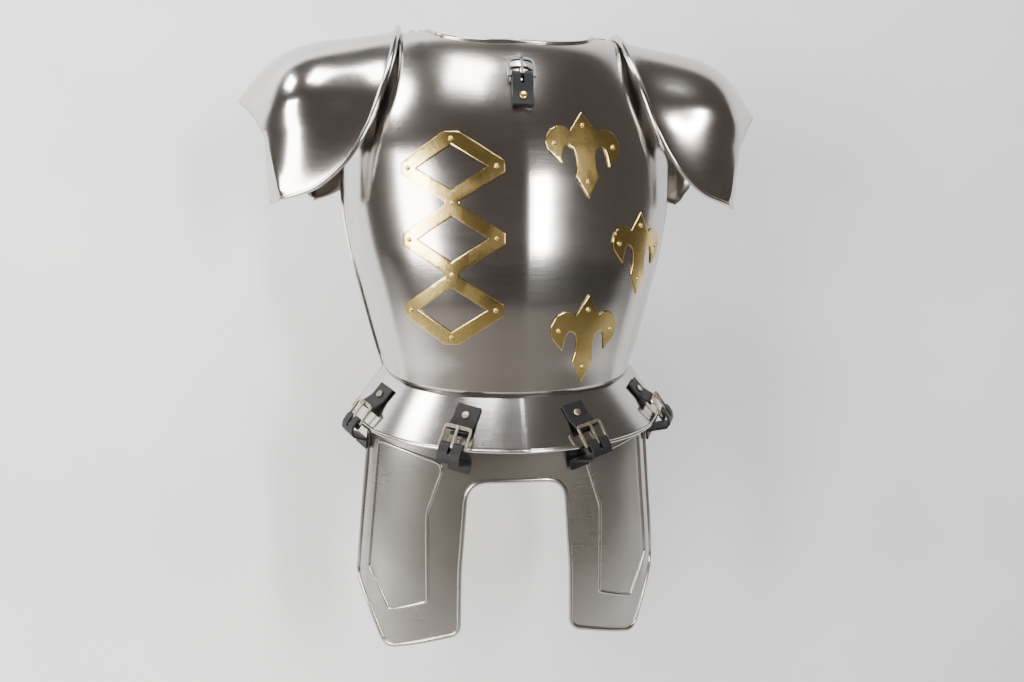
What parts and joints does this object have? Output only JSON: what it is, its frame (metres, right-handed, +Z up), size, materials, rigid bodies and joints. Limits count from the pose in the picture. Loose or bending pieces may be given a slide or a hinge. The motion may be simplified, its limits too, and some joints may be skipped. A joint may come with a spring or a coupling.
{
  "type": "suit of plate armour",
  "caption": "Hollow plate armour for the torso: breastplate and backplate with winged shoulder plates, a flared waist band and a two-legged skirt plate hung from it by buckled leather straps.",
  "frame": {"origin": "between the shoulders, level with the shoulder crests, where the wearer's shoulders hold it up", "axes": "+Z up, the front faces -Y, +X is the wearer's left"},
  "size_m": [0.5522, 0.2482, 0.6212],
  "materials": {
    "polished_steel": "polished, lightly brushed",
    "gilding_brass": "satin, lightly tarnished",
    "buckle_brass": "antique",
    "black_metal": "gloss black",
    "black_leather": "satin"
  },
  "bodies": {
    "armour": {"breastplate": "polished_steel", "backplate": "polished_steel", "waist_band": "polished_steel", "tasset_plate": "polished_steel", "pauldron_left": "polished_steel", "pauldron_right": "polished_steel", "lily_upper": "gilding_brass", "lily_side": "gilding_brass", "lily_lower": "gilding_brass", "lozenge_chain": "gilding_brass", "front_right_strap": "black_leather", "front_right_rivet": "gilding_brass", "front_right_buckle": "buckle_brass", "front_right_prong": "buckle_brass", "front_right_tab": "black_leather", "front_left_strap": "black_leather", "front_left_rivet": "gilding_brass", "front_left_buckle": "buckle_brass", "front_left_prong": "buckle_brass", "front_left_tab": "black_leather", "side_right_strap": "black_leather", "side_right_rivet": "gilding_brass", "side_right_buckle": "buckle_brass", "side_right_prong": "buckle_brass", "side_right_tab": "black_leather", "side_left_strap": "black_leather", "side_left_rivet": "gilding_brass", "side_left_buckle": "buckle_brass", "side_left_prong": "buckle_brass", "side_left_tab": "black_leather", "chest_strap": "black_leather", "chest_rivet": "gilding_brass", "shoulder_strap_right": "black_leather", "shoulder_strap_left": "black_leather"},
    "buckle_frame": {"chest_buckle": "black_metal"},
    "buckle_prong": {"chest_prong": "black_metal"}
  },
  "joints": [
    {"name": "chest_frame_hinge", "type": "hinge", "parent": "armour", "child": "buckle_frame", "pos_m": [0, -0.10281, -0.04575], "axis": [1, 0, 0], "range_deg": [0, 120]},
    {"name": "chest_prong_hinge", "type": "hinge", "parent": "buckle_frame", "child": "buckle_prong", "pos_m": [0, -0.10281, -0.04575], "axis": [1, 0, 0], "range_deg": [0, 30]}
  ]
}
